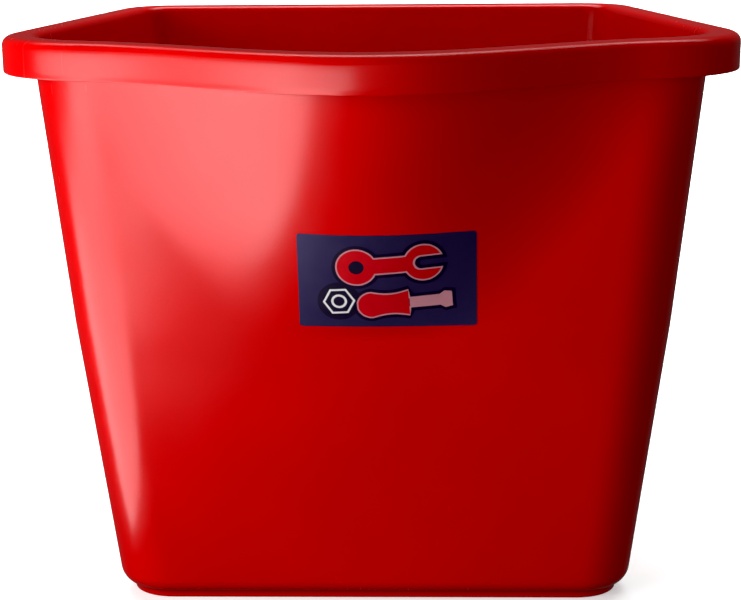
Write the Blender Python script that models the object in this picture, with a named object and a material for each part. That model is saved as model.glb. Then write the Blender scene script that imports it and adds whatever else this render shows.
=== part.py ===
"""Rectangular tool bucket with a bulged front, a skirted rim and a printed front label.

Metres, +Z up.  The bucket stands on its foot ring, the bulged front faces -Y,
and the origin is under the middle of the object, at the height of the foot.
"""

import math

import bmesh
import bpy
from mathutils import Vector

COLLECTION = "tool_bucket"

# The rim.  Its width is measured at the front, where its straight edges would meet.
RIM_WIDTH = 0.3436
HEIGHT = 0.2765
OVERHANG = 0.0126
SKIRT_HEIGHT = 0.0161
RIM_WALL = 0.0026
RIM_ROUND = 0.0044
RIM_INNER_ROUND = 0.0030

# The outer wall, where it would meet the plane of the rim.
FRONT_WIDTH = RIM_WIDTH - 2 * OVERHANG
BACK_WIDTH = 0.2435
DEPTH = 0.1795
FRONT_CORNER = 0.0315
BACK_CORNER = 0.0150
WALL = 0.0025

# Above the crease the front swells out into a rounded nose, which grows towards the rim.
NOSE = 0.0530
NOSE_HALF_WIDTH = 0.1415
NOSE_FOOT_SHARE = 0.35
NOSE_WIDTH_POWER = 0.75

# Draft, as a slope: the wall leans in more below the crease than above it.
CREASE_HEIGHT = 0.1400
UPPER_DRAFT = 0.089
LOWER_DRAFT = 0.113

# The bottom edge and the ring that the bucket stands on.
BOTTOM_ROUND = 0.0090
FOOT_HEIGHT = 0.0030
FOOT_INSET = 0.0055
FOOT_WIDTH = 0.0040
FLOOR_WALL = 0.0030
FLOOR_ROUND = 0.0070

# How far the wall's own middle lies behind the origin, which is under the whole plan's middle.
PLAN_MIDDLE = NOSE / 2

# Points along each stretch of a section, and the rings of the upper wall as shares of
# the way from the crease to the rim, closest together behind the label.
CORNER_STEPS = 7
FRONT_STEPS = 30
SIDE_STEPS = 3
BACK_STEPS = 4
WALL_SHARES = (0.04, 0.12, 0.20, 0.28, 0.36, 0.52, 0.75)

# The label, wrapped round the foot of the nose.
LABEL_WIDTH = 0.0808
LABEL_HEIGHT = 0.0473
LABEL_CORNER = 0.0015
LABEL_SHIFT = 0.0079
LABEL_BOTTOM = CREASE_HEIGHT + 0.0058
FILM = 0.0003
INK = 0.0003
CLEARANCE = 0.0003
WRAP_STEP = 0.0045
ARC_STEPS = 24

# The emblem: a spanner above a screwdriver, each with a pale line round it, and a nut drawn in white lines.
EMBLEM_TILT = math.radians(4)
KEYLINE = 0.0009
SPANNER_LENGTH = 0.0300
SPANNER_HEAD = 0.0086
SPANNER_RING_HOLE = 0.0034
SPANNER_JAW = 0.0074
SPANNER_SHANK = 0.0074
SPANNER_PLACE = Vector((0.0010, 0.0322))
DRIVER_HANDLE_LENGTH = 0.0230
DRIVER_HANDLE_WIDTH = 0.0126
DRIVER_BLADE_LENGTH = 0.0190
DRIVER_WAIST = 0.22
DRIVER_BLADE_WIDTH = 0.0042
DRIVER_TIP_WIDTH = 0.0072
DRIVER_PLACE = Vector((0.0095, 0.0128))
NUT_RADIUS = 0.0074
NUT_BORE = 0.0036
NUT_LINE = 0.0011
NUT_PLACE = Vector((-0.0220, 0.0135))


def share_above_crease(height):
    """How far up the wall is between the crease, 0, and the rim, 1."""
    return min(max((height - CREASE_HEIGHT) / (HEIGHT - CREASE_HEIGHT), 0.0), 1.0)


def wall_inset(height):
    """How far the outer wall has leaned in from its place in the plane of the rim."""
    upper = UPPER_DRAFT * (HEIGHT - max(height, CREASE_HEIGHT))
    lower = LOWER_DRAFT * max(CREASE_HEIGHT - height, 0.0)
    return upper + lower


def front_bulge(x, height):
    """How far the front wall stands out from its flat plane at x."""
    share = share_above_crease(height)
    reach = NOSE_HALF_WIDTH * (NOSE_FOOT_SHARE + (1 - NOSE_FOOT_SHARE) * share ** NOSE_WIDTH_POWER)
    along = min(abs(x) / reach, 1.0)
    return NOSE * share * (0.5 + 0.5 * math.cos(math.pi * along))


def front_wall_y(x, height):
    """The outer face of the front wall."""
    return PLAN_MIDDLE - DEPTH / 2 + wall_inset(height) - front_bulge(x, height)


def rounded_corner(before, corner, after, radius, steps):
    """Points of the arc that rounds one corner of a flat outline."""
    towards_before = (before - corner).normalized()
    towards_after = (after - corner).normalized()
    half_angle = towards_before.angle(towards_after) / 2
    middle = (towards_before + towards_after).normalized()
    centre = corner + middle * (radius / math.sin(half_angle))
    start = corner + towards_before * (radius / math.tan(half_angle)) - centre
    sweep = math.pi - 2 * half_angle
    points = []
    for step in range(steps + 1):
        angle = sweep * step / steps
        cosine = math.cos(angle)
        sine = math.sin(angle)
        points.append(centre + Vector((start.x * cosine - start.y * sine, start.x * sine + start.y * cosine)))
    return points


def between(start, end, steps):
    """The inner points of a straight stretch."""
    return [start.lerp(end, step / steps) for step in range(1, steps)]


def rim_outline():
    """The wall's outline in the plane of the rim, without the bulge, and its outward normals."""
    corners = [
        Vector((-FRONT_WIDTH / 2, -DEPTH / 2)),
        Vector((FRONT_WIDTH / 2, -DEPTH / 2)),
        Vector((BACK_WIDTH / 2, DEPTH / 2)),
        Vector((-BACK_WIDTH / 2, DEPTH / 2)),
    ]
    radii = [FRONT_CORNER, FRONT_CORNER, BACK_CORNER, BACK_CORNER]
    stretches = [FRONT_STEPS, SIDE_STEPS, BACK_STEPS, SIDE_STEPS]
    arcs = []
    for index, corner in enumerate(corners):
        following = corners[(index + 1) % 4]
        arcs.append(rounded_corner(corners[index - 1], corner, following, radii[index], CORNER_STEPS))
    points = []
    for index, arc in enumerate(arcs):
        points += arc
        points += between(arc[-1], arcs[(index + 1) % 4][0], stretches[index])
    normals = []
    for index, point in enumerate(points):
        along = points[(index + 1) % len(points)] - points[index - 1]
        normals.append(Vector((along.y, -along.x)).normalized())
    return list(zip(points, normals))


def wall_section(outline, height, offset):
    """The wall's section at one height: the rim's outline drawn in, offset, then bulged in front."""
    inset = wall_inset(height)
    narrower = 1 - inset / (FRONT_WIDTH / 2)
    shallower = 1 - inset / (DEPTH / 2)
    front = -DEPTH / 2 + inset
    section = []
    for point, normal in outline:
        x = point.x * narrower + normal.x * offset
        y = point.y * shallower
        behind = min((y - front) / (FRONT_CORNER * shallower), 1.0)
        bulge = front_bulge(x, height) * (1 - behind ** 2)
        section.append(Vector((x, PLAN_MIDDLE + y + normal.y * offset - bulge)))
    return section


def quarter_round(centre_offset, centre_height, radius, start, end, steps):
    """Offset and height of points round an edge's arc; angles in degrees from outwards."""
    points = []
    for step in range(steps + 1):
        angle = math.radians(start + (end - start) * step / steps)
        offset = centre_offset + radius * math.cos(angle)
        points.append((offset, centre_height + radius * math.sin(angle)))
    return points


def bucket_profile():
    """Offset from the outer wall and height of each ring, from the underside to the floor."""
    profile = []
    foot_inner = -FOOT_INSET - FOOT_WIDTH
    profile.append((foot_inner, FOOT_HEIGHT))
    profile.append((foot_inner, 0.0))
    profile.append((-FOOT_INSET, 0.0))
    start = -math.degrees(math.acos((BOTTOM_ROUND - FOOT_INSET) / BOTTOM_ROUND))
    profile += quarter_round(-BOTTOM_ROUND, FOOT_HEIGHT + BOTTOM_ROUND, BOTTOM_ROUND, start, 0, 4)
    profile.append((0.0, CREASE_HEIGHT))
    upper_heights = [CREASE_HEIGHT + share * (HEIGHT - CREASE_HEIGHT) for share in WALL_SHARES]
    profile += [(0.0, height) for height in upper_heights]
    profile.append((0.0, HEIGHT - RIM_WALL))
    round_offset = OVERHANG - RIM_ROUND
    round_height = HEIGHT - RIM_ROUND
    profile += quarter_round(round_offset, round_height, RIM_ROUND - RIM_WALL, 90, 0, 2)
    profile.append((OVERHANG - RIM_WALL, HEIGHT - SKIRT_HEIGHT))
    profile.append((OVERHANG, HEIGHT - SKIRT_HEIGHT))
    profile += quarter_round(round_offset, round_height, RIM_ROUND, 0, 90, 4)
    inner_start = RIM_INNER_ROUND - WALL
    profile += quarter_round(inner_start, HEIGHT - RIM_INNER_ROUND, RIM_INNER_ROUND, 90, 180, 2)
    profile += [(-WALL, height) for height in reversed(upper_heights)]
    profile.append((-WALL, CREASE_HEIGHT))
    floor = FOOT_HEIGHT + FLOOR_WALL
    profile += quarter_round(-WALL - FLOOR_ROUND, floor + FLOOR_ROUND, FLOOR_ROUND, 0, -90, 3)
    return profile


def make_material(name, colour, roughness):
    material = bpy.data.materials.new(name)
    material.use_nodes = True
    surface = material.node_tree.nodes["Principled BSDF"]
    surface.inputs["Base Color"].default_value = (*colour, 1.0)
    surface.inputs["Roughness"].default_value = roughness
    surface.inputs["Metallic"].default_value = 0.0
    material.diffuse_color = (*colour, 1.0)
    return material


def add_mesh_object(name, mesh, material, collection):
    piece = bpy.data.objects.new(name, mesh)
    mesh.materials.append(material)
    collection.objects.link(piece)
    return piece


def make_bucket(collection):
    """The one-piece moulding: foot ring, walls, flange, skirt and floor in one closed skin."""
    shell = bmesh.new()
    outline = rim_outline()
    rings = []
    for offset, height in bucket_profile():
        # What stands out from the wall is the rim, whose skirt hangs plumb from its top.
        section = wall_section(outline, HEIGHT if offset > 0 else height, offset)
        rings.append([shell.verts.new((point.x, point.y, height)) for point in section])
    count = len(rings[0])
    for lower, upper in zip(rings, rings[1:]):
        for index in range(count):
            following = (index + 1) % count
            shell.faces.new((lower[index], lower[following], upper[following], upper[index]))
    shell.faces.new(list(reversed(rings[0])))
    shell.faces.new(rings[-1])
    bmesh.ops.recalc_face_normals(shell, faces=shell.faces)
    mesh = bpy.data.meshes.new("bucket_body")
    shell.to_mesh(mesh)
    shell.free()
    mesh.shade_smooth()
    mesh.set_sharp_from_angle(angle=math.radians(30))
    red = make_material("red_plastic", (0.66, 0.005, 0.006), 0.28)
    return add_mesh_object("bucket_body", mesh, red, collection)


def flat_outline_mesh(name, outlines, thickness):
    """A flat plate in the XZ plane, front face at y = 0 and back face at y = thickness."""
    curve = bpy.data.curves.new(name, "CURVE")
    curve.dimensions = "2D"
    curve.fill_mode = "BOTH"
    curve.extrude = thickness / 2
    for outline in outlines:
        spline = curve.splines.new("POLY")
        spline.points.add(len(outline) - 1)
        spline.use_cyclic_u = True
        for point, place in zip(spline.points, outline):
            point.co = (place.x, place.y, 0.0, 1.0)
    guide = bpy.data.objects.new(name + "_outline", curve)
    bpy.context.scene.collection.objects.link(guide)
    evaluated = guide.evaluated_get(bpy.context.evaluated_depsgraph_get())
    mesh = bpy.data.meshes.new_from_object(evaluated)
    mesh.name = name
    bpy.data.objects.remove(guide)
    bpy.data.curves.remove(curve)
    plate = bmesh.new()
    plate.from_mesh(mesh)
    bmesh.ops.remove_doubles(plate, verts=plate.verts, dist=0.000002)
    for vertex in plate.verts:
        across, up, depth = vertex.co
        vertex.co = (across, thickness / 2 - depth, up)
    bmesh.ops.recalc_face_normals(plate, faces=plate.faces)
    plate.to_mesh(mesh)
    plate.free()
    return mesh


def wall_slope(x, height):
    """How the front wall falls back, per metre across."""
    step = 0.0005
    return (front_wall_y(x + step, height) - front_wall_y(x - step, height)) / (2 * step)


def round_the_wall(distance, height):
    """The x that is reached by going a distance round the wall from the label's middle."""
    x = LABEL_SHIFT
    for _ in range(ARC_STEPS):
        x += distance / ARC_STEPS / math.hypot(1.0, wall_slope(x, height))
    return x


def wrap_round_nose(mesh, stand_off):
    """Bends a flat plate round the front wall, its front face stand_off outside the wall."""
    plate = bmesh.new()
    plate.from_mesh(mesh)
    columns = int(LABEL_WIDTH / 2 / WRAP_STEP) + 1
    rows = int(LABEL_HEIGHT / WRAP_STEP) + 1
    cuts = [((column * WRAP_STEP, 0, 0), (1, 0, 0)) for column in range(-columns, columns + 1)]
    cuts += [((0, 0, row * 2 * WRAP_STEP), (0, 0, 1)) for row in range(rows)]
    for place, direction in cuts:
        geometry = plate.verts[:] + plate.edges[:] + plate.faces[:]
        bmesh.ops.bisect_plane(plate, geom=geometry, plane_co=place, plane_no=direction, dist=0.00002)
    for vertex in plate.verts:
        z = vertex.co.z + LABEL_BOTTOM
        x = round_the_wall(vertex.co.x, z)
        step = 0.0005
        lean = (front_wall_y(x, z + step) - front_wall_y(x, z - step)) / (2 * step)
        outwards = Vector((wall_slope(x, z), -1.0, lean)).normalized()
        surface = Vector((x, front_wall_y(x, z), z))
        vertex.co = surface + outwards * (stand_off - vertex.co.y)
    bmesh.ops.remove_doubles(plate, verts=plate.verts, dist=0.000002)
    bmesh.ops.triangulate(plate, faces=plate.faces)
    bmesh.ops.recalc_face_normals(plate, faces=plate.faces)
    plate.to_mesh(mesh)
    plate.free()
    return mesh


def rounded_rectangle(width, height, radius, steps):
    """A rectangle that stands on y = 0 and is centred on x = 0."""
    corners = [
        Vector((-width / 2, 0.0)),
        Vector((width / 2, 0.0)),
        Vector((width / 2, height)),
        Vector((-width / 2, height)),
    ]
    points = []
    for index, corner in enumerate(corners):
        points += rounded_corner(corners[index - 1], corner, corners[(index + 1) % 4], radius, steps)
    return points


def make_label_film(collection):
    """The dark printed film, stuck to the front wall just above the crease."""
    outline = rounded_rectangle(LABEL_WIDTH, LABEL_HEIGHT, LABEL_CORNER, 4)
    mesh = flat_outline_mesh("label_film", [outline], FILM)
    wrap_round_nose(mesh, CLEARANCE + FILM)
    navy = make_material("navy_label", (0.022, 0.016, 0.075), 0.35)
    return add_mesh_object("label_film", mesh, navy, collection)


def arc_points(centre, radius, start, end, steps):
    """Points round an arc in the plane of the label; angles in degrees."""
    points = []
    for step in range(steps + 1):
        angle = math.radians(start + (end - start) * step / steps)
        points.append(centre + Vector((math.cos(angle), math.sin(angle))) * radius)
    return points


def placed(points, place):
    """Turns a pictogram by the emblem's tilt and moves it to its place on the label."""
    cosine = math.cos(EMBLEM_TILT)
    sine = math.sin(EMBLEM_TILT)
    turned = []
    for point in points:
        turned.append(place + Vector((point.x * cosine - point.y * sine, point.x * sine + point.y * cosine)))
    return turned


def spanner_outline(grow):
    """A combination spanner, ring end on the left and open jaw on the right."""
    head = SPANNER_HEAD + grow
    shank = SPANNER_SHANK / 2 + grow
    jaw = SPANNER_JAW / 2 - grow
    ring_centre = Vector((-SPANNER_LENGTH / 2, 0.0))
    jaw_centre = Vector((SPANNER_LENGTH / 2, 0.0))
    meet = math.degrees(math.asin(shank / head))
    open_at = math.degrees(math.asin(jaw / head))
    points = arc_points(ring_centre, head, meet, 360 - meet, 24)
    points += arc_points(jaw_centre, head, 180 + meet, 360 - open_at, 12)
    points += arc_points(jaw_centre + Vector((-jaw * 0.3, 0.0)), jaw, 270, 90, 8)
    points += arc_points(jaw_centre, head, open_at, 180 - meet, 12)
    return placed(points, SPANNER_PLACE)


def spanner_ring_hole(grow):
    centre = Vector((-SPANNER_LENGTH / 2, 0.0))
    return placed(arc_points(centre, SPANNER_RING_HOLE - grow, 0, 345, 23), SPANNER_PLACE)


def mirrored_outline(lower):
    """Closes an outline whose lower half is given from left to right."""
    return lower + [Vector((point.x, -point.y)) for point in reversed(lower)]


def driver_grip(grow):
    """The lower edge of the screwdriver's grip, from its round end to its collar."""
    half = DRIVER_HANDLE_WIDTH / 2
    straight = DRIVER_HANDLE_LENGTH - half
    points = arc_points(Vector((-straight, 0.0)), half + grow, 192, 270, 7)
    for step in range(1, 9):
        share = step / 8
        width = half * (1 - DRIVER_WAIST * math.sin(math.pi * share))
        points.append(Vector((-straight * (1 - share), -width - grow)))
    return points


def driver_shaft(start, grow):
    """The lower edge of the screwdriver's blade, from start to its flared flat tip."""
    half = DRIVER_BLADE_WIDTH / 2 + grow
    tip = DRIVER_TIP_WIDTH / 2 + grow
    end = DRIVER_BLADE_LENGTH
    return [
        Vector((start, -half)),
        Vector((end * 0.74, -half)),
        Vector((end * 0.86, -tip)),
        Vector((end + grow, -tip * 0.85)),
    ]


def driver_handle_outline():
    return placed(mirrored_outline(driver_grip(0.0)), DRIVER_PLACE)


def driver_blade_outline():
    return placed(mirrored_outline(driver_shaft(CLEARANCE, 0.0)), DRIVER_PLACE)


def driver_outline(grow):
    """Handle and blade together, grown by the same distance all round."""
    return placed(mirrored_outline(driver_grip(grow) + driver_shaft(grow, grow)), DRIVER_PLACE)


def nut_outline(radius):
    return placed(arc_points(Vector((0.0, 0.0)), radius, 0, 300, 5), NUT_PLACE)


def nut_bore_outline(radius):
    return placed(arc_points(Vector((0.0, 0.0)), radius, 0, 345, 23), NUT_PLACE)


def make_ink(name, outlines, material, collection):
    """One printed shape, lying on the label film."""
    mesh = flat_outline_mesh(name, outlines, INK)
    wrap_round_nose(mesh, CLEARANCE + FILM + CLEARANCE + INK)
    return add_mesh_object(name, mesh, material, collection)


def make_emblem(collection):
    """The printed pictograms in red, the blade, the keylines and the nut in pale inks."""
    red = make_material("red_ink", (0.60, 0.010, 0.020), 0.35)
    pale = make_material("pale_ink", (0.85, 0.62, 0.66), 0.35)
    inner = CLEARANCE
    outer = CLEARANCE + KEYLINE
    make_ink("emblem_spanner", [spanner_outline(0.0), spanner_ring_hole(0.0)], red, collection)
    make_ink("emblem_spanner_keyline", [spanner_outline(outer), spanner_outline(inner)], pale, collection)
    make_ink("emblem_driver_handle", [driver_handle_outline()], red, collection)
    make_ink("emblem_driver_blade", [driver_blade_outline()], pale, collection)
    make_ink("emblem_driver_keyline", [driver_outline(outer), driver_outline(inner)], pale, collection)
    nut_edge = [nut_outline(NUT_RADIUS), nut_outline(NUT_RADIUS - NUT_LINE)]
    nut_bore = [nut_bore_outline(NUT_BORE), nut_bore_outline(NUT_BORE - NUT_LINE)]
    make_ink("emblem_nut_edge", nut_edge, pale, collection)
    make_ink("emblem_nut_bore", nut_bore, pale, collection)


def main():
    for old in list(bpy.data.objects):
        bpy.data.objects.remove(old)
    collection = bpy.data.collections.new(COLLECTION)
    bpy.context.scene.collection.children.link(collection)
    make_bucket(collection)
    make_label_film(collection)
    make_emblem(collection)


main()
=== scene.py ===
import math

import bmesh
import bpy
from mathutils import Matrix, Vector
from mathutils.bvhtree import BVHTree


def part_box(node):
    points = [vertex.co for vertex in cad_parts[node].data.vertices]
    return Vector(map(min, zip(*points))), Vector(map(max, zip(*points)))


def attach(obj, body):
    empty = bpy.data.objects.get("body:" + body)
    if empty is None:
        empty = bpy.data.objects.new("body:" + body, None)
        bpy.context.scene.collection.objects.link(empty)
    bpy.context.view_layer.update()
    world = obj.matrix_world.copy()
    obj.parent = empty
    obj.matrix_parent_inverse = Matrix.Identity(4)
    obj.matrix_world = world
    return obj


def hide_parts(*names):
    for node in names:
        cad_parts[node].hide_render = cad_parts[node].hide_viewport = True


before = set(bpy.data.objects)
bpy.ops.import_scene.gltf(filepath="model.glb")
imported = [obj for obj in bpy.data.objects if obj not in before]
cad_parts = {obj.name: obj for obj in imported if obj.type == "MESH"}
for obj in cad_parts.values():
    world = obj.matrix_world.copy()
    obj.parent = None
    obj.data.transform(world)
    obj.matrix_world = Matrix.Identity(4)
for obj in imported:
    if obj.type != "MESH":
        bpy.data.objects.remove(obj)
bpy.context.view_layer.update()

# ---------------------------------------------------------------------------------------
# The bucket.  One injection moulding in red polypropylene: foot ring, tapered walls that
# change draft at a crease, a front that swells into a rounded nose, and a skirted rim.
# ---------------------------------------------------------------------------------------
bucket_low, bucket_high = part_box("bucket_body")
bucket_height = bucket_high[2] - bucket_low[2]
crease_height = 0.1400
crease_softness = 0.0030
rim_overhang = 0.0126
skirt_height = 0.0161
rim_wall = 0.0026
wall = 0.0025
foot_height = 0.0030
foot_inset = 0.0055
foot_width = 0.0040
floor_wall = 0.0030
bottom_round = 0.0090
floor_round = 0.0070


def edge_round(centre_offset, centre_height, radius, start, end, steps):
    """Offset and height of points round a moulded edge; angles in degrees from outwards."""
    points = []
    for step in range(steps + 1):
        angle = math.radians(start + (end - start) * step / steps)
        points.append((centre_offset + radius * math.cos(angle), centre_height + radius * math.sin(angle)))
    return points


def rising(start, end, steps):
    """Evenly spaced values between a start and an end, without the two ends."""
    return [start + (end - start) * step / steps for step in range(1, steps)]


def bucket_profile():
    """Offset from the wall, height and share of the way out from the middle, floor to floor."""
    rim_round = 0.0044
    lip_round = 0.0006
    inner_round = 0.0030
    foot_round = 0.0010
    foot_bevel = 0.0008
    crease_band = 0.012
    top = bucket_height
    foot_inner = -foot_inset - foot_width
    points = [(foot_inner, foot_height, share) for share in (0.0, 0.4, 0.8, 0.97)]
    points += [(foot_inner, foot_height, 1.0), (foot_inner, foot_bevel, 1.0)]
    points += [(foot_inner + foot_bevel, 0.0, 1.0), (-foot_inset - foot_round, 0.0, 1.0)]
    outline = edge_round(-foot_inset - foot_round, foot_round, foot_round, -60, 0, 3)
    start = -math.degrees(math.acos((bottom_round - foot_inset) / bottom_round))
    outline += edge_round(-bottom_round, foot_height + bottom_round, bottom_round, start, 0, 10)
    wall_start = foot_height + bottom_round
    wall_end = top - rim_wall
    crease_start = crease_height - crease_band
    crease_end = crease_height + crease_band
    outline += [(0.0, height) for height in rising(wall_start, crease_start, 14)]
    outline += [(0.0, height) for height in rising(crease_start, crease_end, 16)]
    outline += [(0.0, height) for height in rising(crease_end, wall_end, 26)]
    outline.append((0.0, wall_end))
    round_offset = rim_overhang - rim_round
    round_height = top - rim_round
    skirt_end = top - skirt_height + lip_round
    under = rim_overhang - rim_wall
    outline += [(offset, wall_end) for offset in (0.0002, 0.0040)]
    outline += edge_round(round_offset, round_height, rim_round - rim_wall, 90, 0, 6)
    outline += [(under, height) for height in rising(round_height, skirt_end, 3)]
    outline += edge_round(under + lip_round, skirt_end, lip_round, 180, 270, 3)
    outline += edge_round(rim_overhang - lip_round, skirt_end, lip_round, -90, 0, 3)
    outline += [(rim_overhang, height) for height in rising(skirt_end, round_height, 4)]
    outline += edge_round(round_offset, round_height, rim_round, 0, 90, 12)
    outline += edge_round(inner_round - wall, top - inner_round, inner_round, 90, 180, 6)
    outline += [(-wall, height) for height in rising(top - inner_round, crease_height, 26)]
    floor = foot_height + floor_wall
    outline += [(-wall, height) for height in rising(crease_height, floor + floor_round, 14)]
    outline += edge_round(-wall - floor_round, floor + floor_round, floor_round, 0, -90, 8)
    points += [(offset, height, 1.0) for offset, height in outline]
    points += [(-wall - floor_round, floor, share) for share in (0.97, 0.8, 0.4, 0.0)]
    return points


def nodes_math(tree, operation, *values):
    """A Math node fed with sockets or plain numbers; gives its result."""
    node = tree.nodes.new("ShaderNodeMath")
    node.operation = operation
    for index, value in enumerate(values):
        if isinstance(value, (int, float)):
            node.inputs[index].default_value = value
        else:
            tree.links.new(value, node.inputs[index])
    return node.outputs[0]


def build_moulding_tree():
    """Lofts a profile round a rounded trapezoid, draws it in by the draft and bulges the front."""
    tree = bpy.data.node_groups.new("moulded_bucket", "GeometryNodeTree")
    face = tree.interface
    face.new_socket("Profile", in_out="INPUT", socket_type="NodeSocketGeometry")
    for name, value in (
        ("Height", bucket_height),
        ("Front width", 0.3184),
        ("Back width", 0.2435),
        ("Depth", 0.1795),
        ("Front corner", 0.0315),
        ("Back corner", 0.0150),
        ("Nose", 0.0530),
        ("Nose half width", 0.1415),
        ("Nose foot share", 0.35),
        ("Nose widening power", 0.75),
        ("Crease height", crease_height),
        ("Crease softness", crease_softness),
        ("Upper draft", 0.089),
        ("Lower draft", 0.113),
    ):
        socket = face.new_socket(name, in_out="INPUT", socket_type="NodeSocketFloat")
        socket.default_value = value
    around = face.new_socket("Points around", in_out="INPUT", socket_type="NodeSocketInt")
    around.default_value = 361
    face.new_socket("Plastic", in_out="INPUT", socket_type="NodeSocketMaterial")
    face.new_socket("Geometry", in_out="OUTPUT", socket_type="NodeSocketGeometry")

    nodes = tree.nodes
    links = tree.links
    given = nodes.new("NodeGroupInput").outputs

    def calc(operation, *values):
        return nodes_math(tree, operation, *values)

    half_depth = calc("MULTIPLY", given["Depth"], 0.5)
    half_front = calc("MULTIPLY", given["Front width"], 0.5)

    plan = nodes.new("GeometryNodeCurvePrimitiveQuadrilateral")
    plan.mode = "TRAPEZOID"
    links.new(given["Depth"], plan.inputs["Height"])
    links.new(given["Front width"], plan.inputs["Bottom Width"])
    links.new(given["Back width"], plan.inputs["Top Width"])
    plan.inputs["Offset"].default_value = 0.0
    plan_place = nodes.new("ShaderNodeSeparateXYZ")
    links.new(nodes.new("GeometryNodeInputPosition").outputs[0], plan_place.inputs[0])
    at_back = calc("GREATER_THAN", plan_place.outputs["Y"], 0.0)
    corner_step = calc("SUBTRACT", given["Back corner"], given["Front corner"])
    corner = calc("MULTIPLY_ADD", at_back, corner_step, given["Front corner"])
    fillet = nodes.new("GeometryNodeFilletCurve")
    fillet.mode = "POLY"
    links.new(plan.outputs[0], fillet.inputs["Curve"])
    links.new(corner, fillet.inputs["Radius"])
    fillet.inputs["Count"].default_value = 24

    size = nodes.new("GeometryNodeAttributeDomainSize")
    size.component = "CURVE"
    links.new(given["Profile"], size.inputs[0])
    rows = size.outputs["Point Count"]
    grid = nodes.new("GeometryNodeMeshGrid")
    grid.inputs["Size X"].default_value = 1.0
    grid.inputs["Size Y"].default_value = 1.0
    links.new(given["Points around"], grid.inputs["Vertices X"])
    links.new(rows, grid.inputs["Vertices Y"])
    sheet_place = nodes.new("ShaderNodeSeparateXYZ")
    links.new(nodes.new("GeometryNodeInputPosition").outputs[0], sheet_place.inputs[0])
    turn = calc("ADD", sheet_place.outputs["X"], 0.5)
    along = calc("ADD", sheet_place.outputs["Y"], 0.5)
    row = calc("ROUND", calc("MULTIPLY", along, calc("SUBTRACT", rows, 1.0)))

    outline = nodes.new("GeometryNodeSampleCurve")
    outline.mode = "FACTOR"
    links.new(fillet.outputs[0], outline.inputs["Curves"])
    links.new(turn, outline.inputs["Factor"])
    outline_place = nodes.new("ShaderNodeSeparateXYZ")
    links.new(outline.outputs["Position"], outline_place.inputs[0])
    outline_run = nodes.new("ShaderNodeSeparateXYZ")
    links.new(outline.outputs["Tangent"], outline_run.inputs[0])

    profile = nodes.new("GeometryNodeSampleIndex")
    profile.data_type = "FLOAT_VECTOR"
    profile.domain = "POINT"
    links.new(given["Profile"], profile.inputs["Geometry"])
    links.new(nodes.new("GeometryNodeInputPosition").outputs[0], profile.inputs["Value"])
    links.new(row, profile.inputs["Index"])
    station = nodes.new("ShaderNodeSeparateXYZ")
    links.new(profile.outputs[0], station.inputs[0])
    offset = station.outputs["X"]
    share_out = station.outputs["Y"]
    height = station.outputs["Z"]

    # What stands out from the wall is the rim, whose skirt hangs plumb from its top.
    in_rim = calc("GREATER_THAN", offset, 0.0001)
    followed = calc("MULTIPLY_ADD", in_rim, calc("SUBTRACT", given["Height"], height), height)
    below_rim = calc("SUBTRACT", given["Height"], followed)
    depth_below = calc("SUBTRACT", given["Crease height"], followed)
    below_crease = calc("SMOOTH_MAX", depth_below, 0.0, given["Crease softness"])
    draft_step = calc("SUBTRACT", given["Lower draft"], given["Upper draft"])
    inset = calc("MULTIPLY_ADD", below_crease, draft_step, calc("MULTIPLY", below_rim, given["Upper draft"]))
    narrower = calc("SUBTRACT", 1.0, calc("DIVIDE", inset, half_front))
    shallower = calc("SUBTRACT", 1.0, calc("DIVIDE", inset, half_depth))
    outwards_x = outline_run.outputs["Y"]
    outwards_y = calc("MULTIPLY", outline_run.outputs["X"], -1.0)
    x = calc("MULTIPLY_ADD", outline_place.outputs["X"], narrower, calc("MULTIPLY", outwards_x, offset))
    y_wall = calc("MULTIPLY", outline_place.outputs["Y"], shallower)
    y = calc("MULTIPLY_ADD", outwards_y, offset, y_wall)

    height_above = calc("SUBTRACT", followed, given["Crease height"])
    above_crease = calc("SMOOTH_MAX", height_above, 0.0, given["Crease softness"])
    share = calc("DIVIDE", above_crease, calc("SUBTRACT", given["Height"], given["Crease height"]))
    widened = calc("POWER", share, given["Nose widening power"])
    widening = calc("MULTIPLY", calc("SUBTRACT", 1.0, given["Nose foot share"]), widened)
    reach = calc("MULTIPLY", given["Nose half width"], calc("ADD", widening, given["Nose foot share"]))
    along_nose = calc("MINIMUM", calc("DIVIDE", calc("ABSOLUTE", x), reach), 1.0)
    nose_across = calc("MULTIPLY_ADD", calc("COSINE", calc("MULTIPLY", along_nose, math.pi)), 0.5, 0.5)
    nose_here = calc("MULTIPLY", calc("MULTIPLY", given["Nose"], share), nose_across)
    front = calc("SUBTRACT", inset, half_depth)
    corner_depth = calc("MULTIPLY", given["Front corner"], shallower)
    behind = calc("MINIMUM", calc("DIVIDE", calc("SUBTRACT", y_wall, front), corner_depth), 1.0)
    in_front = calc("SUBTRACT", 1.0, calc("POWER", calc("ABSOLUTE", behind), 2.0))
    bulge = calc("MULTIPLY", nose_here, in_front)
    bulged = calc("SUBTRACT", y, bulge)
    middle = calc("MULTIPLY", given["Nose"], 0.5)

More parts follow.
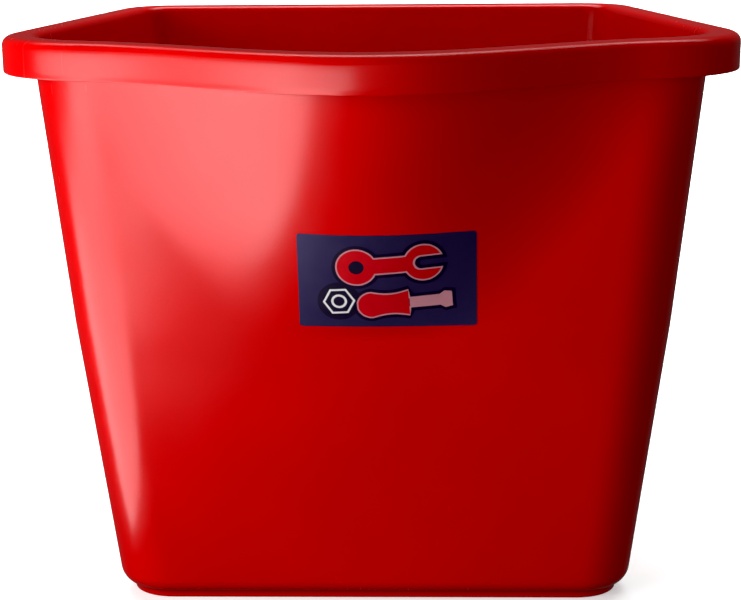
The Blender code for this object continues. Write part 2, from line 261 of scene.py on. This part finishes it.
    place = nodes.new("ShaderNodeCombineXYZ")
    links.new(calc("MULTIPLY", x, share_out), place.inputs["X"])
    links.new(calc("MULTIPLY_ADD", bulged, share_out, middle), place.inputs["Y"])
    links.new(height, place.inputs["Z"])
    loft = nodes.new("GeometryNodeSetPosition")
    links.new(grid.outputs["Mesh"], loft.inputs["Geometry"])
    links.new(place.outputs[0], loft.inputs["Position"])
    closed = nodes.new("GeometryNodeMergeByDistance")
    links.new(loft.outputs[0], closed.inputs["Geometry"])
    closed.inputs["Distance"].default_value = 0.000005
    smooth = nodes.new("GeometryNodeSetShadeSmooth")
    links.new(closed.outputs[0], smooth.inputs["Geometry"])
    painted = nodes.new("GeometryNodeSetMaterial")
    links.new(smooth.outputs[0], painted.inputs["Geometry"])
    links.new(given["Plastic"], painted.inputs["Material"])
    result = nodes.new("NodeGroupOutput")
    links.new(painted.outputs[0], result.inputs["Geometry"])
    return tree


def red_polypropylene():
    """Dyed polypropylene: mould texture, slow sink marks, haze, fine scuffs and a few dust specks."""
    material = bpy.data.materials.new("red_polypropylene")
    material.use_nodes = True
    nodes = material.node_tree.nodes
    links = material.node_tree.links
    surface = nodes["Principled BSDF"]
    place = nodes.new("ShaderNodeTexCoord").outputs["Object"]

    def noise(scale, detail):
        node = nodes.new("ShaderNodeTexNoise")
        links.new(place, node.inputs["Vector"])
        node.inputs["Scale"].default_value = scale
        node.inputs["Detail"].default_value = detail
        return node.outputs["Fac"]

    def remap(value, low, high, to_low, to_high):
        node = nodes.new("ShaderNodeMapRange")
        links.new(value, node.inputs["Value"])
        node.inputs["From Min"].default_value = low
        node.inputs["From Max"].default_value = high
        node.inputs["To Min"].default_value = to_low
        node.inputs["To Max"].default_value = to_high
        return node.outputs[0]

    def calc(operation, *values):
        return nodes_math(material.node_tree, operation, *values)

    # Slow unevenness of the dye, and pale dust specks about half a millimetre across.
    cloud = noise(9.0, 3.0)
    shade = nodes.new("ShaderNodeMix")
    shade.data_type = "RGBA"
    links.new(remap(cloud, 0.35, 0.65, 0.0, 1.0), shade.inputs["Factor"])
    shade.inputs["A"].default_value = (0.66, 0.0010, 0.0016, 1.0)
    shade.inputs["B"].default_value = (0.74, 0.0014, 0.0022, 1.0)
    specks = nodes.new("ShaderNodeTexVoronoi")
    links.new(place, specks.inputs["Vector"])
    specks.inputs["Scale"].default_value = 34.0
    inside_speck = calc("LESS_THAN", specks.outputs["Distance"], 0.012)
    chosen = calc("GREATER_THAN", noise(14.0, 0.0), 0.60)
    dusty = calc("MULTIPLY", calc("MULTIPLY", inside_speck, chosen), 0.5)
    dust = nodes.new("ShaderNodeMix")
    dust.data_type = "RGBA"
    links.new(dusty, dust.inputs["Factor"])
    links.new(shade.outputs["Result"], dust.inputs["A"])
    dust.inputs["B"].default_value = (0.80, 0.30, 0.30, 1.0)
    links.new(dust.outputs["Result"], surface.inputs["Base Color"])

    # Fine upright scuffs where buckets are pulled out of each other.
    stretched = nodes.new("ShaderNodeMapping")
    links.new(place, stretched.inputs["Vector"])
    stretched.inputs["Scale"].default_value = (420.0, 420.0, 9.0)
    scratches = nodes.new("ShaderNodeTexNoise")
    links.new(stretched.outputs[0], scratches.inputs["Vector"])
    scratches.inputs["Scale"].default_value = 1.0
    scratches.inputs["Detail"].default_value = 2.0
    scratched = remap(scratches.outputs["Fac"], 0.66, 0.74, 0.0, 1.0)
    worn_area = remap(noise(5.0, 1.0), 0.50, 0.62, 0.0, 1.0)
    scuffed = calc("MULTIPLY", scratched, worn_area)
    haze = remap(noise(22.0, 4.0), 0.3, 0.7, 0.20, 0.27)
    roughness = calc("MULTIPLY_ADD", scuffed, 0.14, haze)
    links.new(roughness, surface.inputs["Roughness"])
    surface.inputs["Specular IOR Level"].default_value = 0.22

    # The mould's fine matt texture over slow sink marks.
    grain = calc("MULTIPLY", noise(1900.0, 2.0), 0.000007)
    ripple = calc("MULTIPLY", noise(38.0, 1.0), 0.00006)
    height = calc("ADD", calc("ADD", grain, ripple), calc("MULTIPLY", scuffed, -0.000004))
    bump = nodes.new("ShaderNodeBump")
    bump.inputs["Distance"].default_value = 1.0
    bump.inputs["Strength"].default_value = 1.0
    links.new(height, bump.inputs["Height"])
    links.new(bump.outputs[0], surface.inputs["Normal"])
    return material


def object_from_curve_points(name, points):
    """A straight-sided open curve through the points."""
    curve = bpy.data.curves.new(name, "CURVE")
    curve.dimensions = "3D"
    spline = curve.splines.new("POLY")
    spline.points.add(len(points) - 1)
    for point, place in zip(spline.points, points):
        point.co = (*place, 1.0)
    holder = bpy.data.objects.new(name, curve)
    bpy.context.scene.collection.objects.link(holder)
    return holder


def baked(name, holder):
    """The evaluated object as a plain mesh object at the origin."""
    evaluated = holder.evaluated_get(bpy.context.evaluated_depsgraph_get())
    mesh = bpy.data.meshes.new_from_object(evaluated)
    mesh.name = name
    bpy.data.objects.remove(holder)
    piece = bpy.data.objects.new(name, mesh)
    bpy.context.scene.collection.objects.link(piece)
    return piece


profile_points = [(offset, share, height) for offset, height, share in bucket_profile()]
moulding = object_from_curve_points("bucket_profile", profile_points)
moulding_tree = build_moulding_tree()
plastic = red_polypropylene()
modifier = moulding.modifiers.new("moulding", "NODES")
modifier.node_group = moulding_tree
for item in moulding_tree.interface.items_tree:
    if item.item_type == "SOCKET" and item.in_out == "INPUT" and item.name == "Plastic":
        modifier[item.identifier] = plastic
bucket = baked("bucket_moulding", moulding)
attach(bucket, "root")
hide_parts("bucket_body")

# ---------------------------------------------------------------------------------------
# The gate mark.  Two thin raised rings left on the underside where the plastic entered the
# mould, part of the same moulding.
# ---------------------------------------------------------------------------------------
gate_curve = bpy.data.curves.new("gate_mark", "CURVE")
gate_curve.dimensions = "3D"
gate_curve.bevel_depth = 0.0005
gate_curve.bevel_resolution = 3
gate_behind_middle = 0.026
gate_middle = (bucket_low[1] + bucket_high[1]) / 2 + gate_behind_middle
ring_steps = 48
for radius in (0.0022, 0.0075):
    ring = gate_curve.splines.new("POLY")
    ring.points.add(ring_steps - 1)
    ring.use_cyclic_u = True
    for index, point in enumerate(ring.points):
        angle = 2 * math.pi * index / ring_steps
        across = radius * math.cos(angle)
        point.co = (across, gate_middle + radius * math.sin(angle), foot_height, 1.0)
gate_holder = bpy.data.objects.new("gate_mark", gate_curve)
bpy.context.scene.collection.objects.link(gate_holder)
gate_mark = baked("gate_mark", gate_holder)
gate_mark.data.materials.append(plastic)
gate_mark.data.shade_smooth()
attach(gate_mark, "root")

# ---------------------------------------------------------------------------------------
# The label.  A dark printed film about 0.15 mm thick, stuck on by hand just above the
# crease and a little right of the middle, so it bends round the foot of the nose.
# ---------------------------------------------------------------------------------------
film_width = 0.0808
film_height = 0.0473
film_corner = 0.0015
film_thickness = 0.00015
film_shift = 0.0079
film_bottom = crease_height + 0.0058
glue = 0.00002

bucket_shape = bmesh.new()
bucket_shape.from_mesh(bucket.data)
bucket_skin = BVHTree.FromBMesh(bucket_shape)
bucket_shape.free()


def front_wall(x, height):
    """The point and the outward normal of the front wall, met from in front."""
    point, normal, _, _ = bucket_skin.ray_cast(Vector((x, -1.0, height)), Vector((0.0, 1.0, 0.0)))
    return point, normal


def round_the_wall(distance, height):
    """The x that is reached by going a distance round the wall from the label's middle."""
    steps = 16
    x = film_shift
    for _ in range(steps):
        normal = front_wall(x, height)[1]
        x += distance / steps * abs(normal.y) / math.hypot(normal.x, normal.y)
    return x


def printed_shape(name, outlines, thickness, lift, cell, material):
    """Cuts a flat shape out, divides it into cells and lays it on the front wall, lift above it."""
    curve = bpy.data.curves.new(name, "CURVE")
    curve.dimensions = "2D"
    curve.fill_mode = "BOTH"
    curve.extrude = thickness / 2
    for outline in outlines:
        spline = curve.splines.new("POLY")
        spline.points.add(len(outline) - 1)
        spline.use_cyclic_u = True
        for point, place in zip(spline.points, outline):
            point.co = (place.x, place.y, 0.0, 1.0)
    holder = bpy.data.objects.new(name + "_outline", curve)
    bpy.context.scene.collection.objects.link(holder)
    piece = baked(name, holder)
    plate = bmesh.new()
    plate.from_mesh(piece.data)
    bmesh.ops.remove_doubles(plate, verts=plate.verts, dist=0.000001)
    for axis in (0, 1):
        ends = [vertex.co[axis] for vertex in plate.verts]
        first = math.floor(min(ends) / cell) + 1
        last = math.ceil(max(ends) / cell)
        direction = (1.0, 0.0, 0.0) if axis == 0 else (0.0, 1.0, 0.0)
        for index in range(first, last):
            cut = tuple(index * cell * part for part in direction)
            whole = plate.verts[:] + plate.edges[:] + plate.faces[:]
            bmesh.ops.bisect_plane(plate, geom=whole, plane_co=cut, plane_no=direction, dist=0.000001)
    for vertex in plate.verts:
        across, up, out = vertex.co
        height = film_bottom + up
        point, normal = front_wall(round_the_wall(across, height), height)
        vertex.co = point + normal * (lift + thickness / 2 + out)
    bmesh.ops.triangulate(plate, faces=plate.faces)
    bmesh.ops.recalc_face_normals(plate, faces=plate.faces)
    plate.to_mesh(piece.data)
    plate.free()
    piece.data.materials.append(material)
    piece.data.shade_smooth()
    piece.data.set_sharp_from_angle(angle=math.radians(40))
    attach(piece, "root")
    return piece


def arc(centre, radius, start, end, steps):
    """Points round an arc; angles in degrees."""
    angles = [math.radians(start + (end - start) * step / steps) for step in range(steps + 1)]
    middle = Vector(centre)
    return [middle + radius * Vector((math.cos(angle), math.sin(angle))) for angle in angles]


def print_material(name, colour, other_colour, roughness):
    """Screen-printed ink or film: an uneven ink coat, a fine dot texture and faint rubbing."""
    material = bpy.data.materials.new(name)
    material.use_nodes = True
    nodes = material.node_tree.nodes
    links = material.node_tree.links
    surface = nodes["Principled BSDF"]
    place = nodes.new("ShaderNodeTexCoord").outputs["Object"]
    coat = nodes.new("ShaderNodeTexNoise")
    links.new(place, coat.inputs["Vector"])
    coat.inputs["Scale"].default_value = 160.0
    coat.inputs["Detail"].default_value = 5.0
    blend = nodes.new("ShaderNodeMix")
    blend.data_type = "RGBA"
    links.new(coat.outputs["Fac"], blend.inputs["Factor"])
    blend.inputs["A"].default_value = (*colour, 1.0)
    blend.inputs["B"].default_value = (*other_colour, 1.0)
    links.new(blend.outputs["Result"], surface.inputs["Base Color"])
    dots = nodes.new("ShaderNodeTexVoronoi")
    links.new(place, dots.inputs["Vector"])
    dots.inputs["Scale"].default_value = 3200.0
    rubbed = nodes_math(material.node_tree, "MULTIPLY_ADD", coat.outputs["Fac"], 0.16, roughness - 0.08)
    links.new(rubbed, surface.inputs["Roughness"])
    surface.inputs["Specular IOR Level"].default_value = 0.12
    bump = nodes.new("ShaderNodeBump")
    bump.inputs["Distance"].default_value = 0.000004
    links.new(dots.outputs["Distance"], bump.inputs["Height"])
    links.new(bump.outputs[0], surface.inputs["Normal"])
    return material


half = film_width / 2 - film_corner
top = film_height - film_corner
film_outline = []
for corner_place, start in (
    ((-half, film_corner), 180),
    ((half, film_corner), 270),
    ((half, top), 0),
    ((-half, top), 90),
):
    film_outline += arc(corner_place, film_corner, start, start + 90, 6)
navy = print_material("navy_film", (0.022, 0.015, 0.066), (0.028, 0.020, 0.078), 0.42)
film = printed_shape("label", [film_outline], film_thickness, glue, 0.0015, navy)
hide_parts("label_film")

# ---------------------------------------------------------------------------------------
# The emblem.  Layers of ink printed on the film: a near-black ground, a spanner and a
# screwdriver in red with a thin pale line round each, and a nut drawn in white lines.
# ---------------------------------------------------------------------------------------
ground_lift = glue + film_thickness + 0.00001
ground_thickness = 0.00002
ink_lift = ground_lift + 0.00003
ink_thickness = 0.00003
ink_cell = 0.002
gap = 0.0003
keyline = 0.0007
print_tilt = math.radians(4)
spanner_place = (0.0010, 0.0322)
spanner_reach = 0.0150
spanner_half_width = 0.0037
driver_place = (0.0095, 0.0128)
nut_place = (-0.0220, 0.0135)
nut_radius = 0.0074


def set_down(points, place):
    """Tilts a pictogram and moves it to its place on the film."""
    cosine = math.cos(print_tilt)
    sine = math.sin(print_tilt)
    return [
        Vector((place[0] + point.x * cosine - point.y * sine, place[1] + point.x * sine + point.y * cosine))
        for point in points
    ]


def mirrored(lower):
    """A closed outline from its lower half, drawn from left to right."""
    return lower + [Vector((point.x, -point.y)) for point in reversed(lower)]


def spanner(grow):
    """Ring end on the left, open jaw on the right."""
    head = 0.0086 + grow
    jaw = spanner_half_width - grow
    meet = math.degrees(math.asin((spanner_half_width + grow) / head))
    opened = math.degrees(math.asin(jaw / head))
    points = arc((-spanner_reach, 0.0), head, meet, 360 - meet, 48)
    points += arc((spanner_reach, 0.0), head, 180 + meet, 360 - opened, 28)
    points += arc((spanner_reach - jaw * 0.3, 0.0), jaw, 270, 90, 20)
    points += arc((spanner_reach, 0.0), head, opened, 180 - meet, 28)
    return set_down(points, spanner_place)


def driver_grip(grow):
    """The grip's lower edge, from its round end to its collar, with a waist."""
    half_width = 0.0063
    straight = 0.0167
    points = arc((-straight, 0.0), half_width + grow, 192, 270, 14)
    for step in range(1, 17):
        share = step / 16
        width = half_width * (1 - 0.22 * math.sin(math.pi * share))
        points.append(Vector((-straight * (1 - share), -width - grow)))
    return points


def driver_blade(start, grow):
    """The blade's lower edge, out to its flared flat tip."""
    length = 0.0190
    half_width = 0.0021 + grow
    tip = 0.0036 + grow
    return [
        Vector((start, -half_width)),
        Vector((length * 0.74, -half_width)),
        Vector((length * 0.86, -tip)),
        Vector((length + grow, -tip * 0.85)),
    ]


def driver(grow):
    """Grip and blade in one outline."""
    return set_down(mirrored(driver_grip(grow) + driver_blade(grow, grow)), driver_place)


def nut_line(radius, corners):
    """A regular outline round the nut's middle."""
    return set_down(arc((0.0, 0.0), radius, 0, 360 - 360 / corners, corners - 1), nut_place)


dark_ink = print_material("dark_ink", (0.010, 0.006, 0.024), (0.014, 0.009, 0.030), 0.40)
red_ink = print_material("red_ink", (0.62, 0.004, 0.010), (0.70, 0.006, 0.014), 0.40)
rose_ink = print_material("rose_ink", (0.62, 0.24, 0.30), (0.70, 0.30, 0.36), 0.40)
white_ink = print_material("white_ink", (0.86, 0.84, 0.86), (0.93, 0.91, 0.93), 0.40)

ground = 0.0024
for name, outline in (
    ("spanner_ground", spanner(ground)),
    ("driver_ground", driver(ground)),
    ("nut_ground", nut_line(nut_radius + ground, 48)),
):
    backing = printed_shape(name, [outline], ground_thickness, ground_lift, ink_cell, dark_ink)

grip_outline = set_down(mirrored(driver_grip(0.0)), driver_place)
blade_outline = set_down(mirrored(driver_blade(gap, 0.0)), driver_place)
spanner_hole = set_down(arc((-spanner_reach, 0.0), 0.0034, 0, 350, 35), spanner_place)
for name, outlines, ink, node, slot in (
    ("spanner_print", [spanner(0.0), spanner_hole], red_ink, "emblem_spanner", "red_ink"),
    ("spanner_line", [spanner(keyline), spanner(0.0)], rose_ink, "emblem_spanner_keyline", "pale_ink"),
    ("grip_print", [grip_outline], red_ink, "emblem_driver_handle", "red_ink"),
    ("blade_print", [blade_outline], rose_ink, "emblem_driver_blade", "pale_ink"),
    ("driver_line", [driver(keyline), driver(0.0)], rose_ink, "emblem_driver_keyline", "pale_ink"),
    ("nut_edge", [nut_line(nut_radius, 6), nut_line(0.0063, 6)], white_ink, "emblem_nut_edge", "pale_ink"),
    ("nut_bore", [nut_line(0.0036, 40), nut_line(0.0025, 40)], white_ink, "emblem_nut_bore", "pale_ink"),
):
    print_layer = printed_shape(name, outlines, ink_thickness, ink_lift, ink_cell, ink)
    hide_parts(node)

# ---------------------------------------------------------------------------------------
# Floor, light and camera.
# ---------------------------------------------------------------------------------------
floor_mesh = bpy.data.meshes.new("floor")
floor_shape = bmesh.new()
bmesh.ops.create_grid(floor_shape, x_segments=1, y_segments=1, size=12.0)
floor_shape.to_mesh(floor_mesh)
floor_shape.free()
floor = bpy.data.objects.new("floor", floor_mesh)
bpy.context.scene.collection.objects.link(floor)
paper = bpy.data.materials.new("pale_paper")
paper.use_nodes = True
paper_surface = paper.node_tree.nodes["Principled BSDF"]
paper_surface.inputs["Base Color"].default_value = (0.88, 0.88, 0.88, 1.0)
paper_surface.inputs["Roughness"].default_value = 0.9
paper_surface.inputs["Specular IOR Level"].default_value = 0.1
paper_surface.inputs["Emission Color"].default_value = (1.0, 1.0, 1.0, 1.0)
paper_surface.inputs["Emission Strength"].default_value = 0.45
floor_mesh.materials.append(paper)
# The paper glows a little, but neither lights the bucket nor shows in it, so the lower wall
# keeps its deep colour.
floor.visible_diffuse = False
floor.visible_glossy = False

# Plain view with a slightly raised black point, which gives deep dark tones.
view = bpy.context.scene.view_settings
view.view_transform = "Standard"
view.use_curve_mapping = True
view.curve_mapping.black_level = (0.006, 0.006, 0.006)
view.curve_mapping.update()
world = bpy.data.worlds.new("studio")
bpy.context.scene.world = world
world.use_nodes = True
sky = world.node_tree.nodes["Background"]
sky.inputs["Color"].default_value = (1.0, 1.0, 1.0, 1.0)
sky.inputs["Strength"].default_value = 0.07


def add_panel(name, place, target, width, height, radiance):
    """A rectangular soft light; its power follows from how bright its face is."""
    light = bpy.data.lights.new(name, "AREA")
    light.shape = "RECTANGLE"
    light.size = width
    light.size_y = height
    light.energy = radiance * math.pi * width * height
    panel = bpy.data.objects.new(name, light)
    bpy.context.scene.collection.objects.link(panel)
    panel.location = place
    panel.rotation_euler = (Vector(target) - Vector(place)).to_track_quat("-Z", "Y").to_euler()
    panel.visible_camera = False
    return panel


# Two light tables lie on the floor to the left, and the glossy front mirrors their glow.
for table in (
    add_panel("light_table", (-0.4675, -0.425, 0.004), (-0.4675, -0.425, 1.0), 0.605, 0.75, 10.0),
    add_panel("far_table", (-1.60, -1.90, 0.004), (-1.60, -1.90, 1.0), 2.6, 2.2, 10.0),
):
    table.visible_diffuse = False
# A small softbox close by on the left gives the fall of light towards the right.
key = add_panel("key_softbox", (-0.38, -0.34, 0.235), (-0.03, -0.04, 0.16), 0.30, 0.30, 8.3)
key.visible_glossy = False
# A weak softbox behind the camera keeps the right half from going dark.
fill = add_panel("fill_softbox", (0.25, -1.30, 0.34), (0.0, 0.0, 0.17), 0.9, 0.7, 1.2)
fill.visible_glossy = False
# The background behind the bucket is lit from above to a clean white.
background = add_panel("background_light", (0.0, 2.75, 1.4), (0.0, 2.75, 0.0), 6.0, 5.0, 3.0)
background.data.spread = math.radians(90)

camera_data = bpy.data.cameras.new("camera")
camera_data.sensor_width = 36.0
camera_data.lens = 77.73
camera_data.clip_start = 0.01
camera = bpy.data.objects.new("camera", camera_data)
bpy.context.scene.collection.objects.link(camera)
camera_pitch = math.radians(14.917)
camera_yaw = math.radians(1.311)
camera_roll = math.radians(-0.428)
camera.location = (0.0159, -0.7534, 0.3446)
aim = Matrix.Rotation(camera_yaw, 4, "Z") @ Matrix.Rotation(math.pi / 2 - camera_pitch, 4, "X")
camera.rotation_euler = (aim @ Matrix.Rotation(camera_roll, 4, "Z")).to_euler()
bpy.context.scene.camera = camera
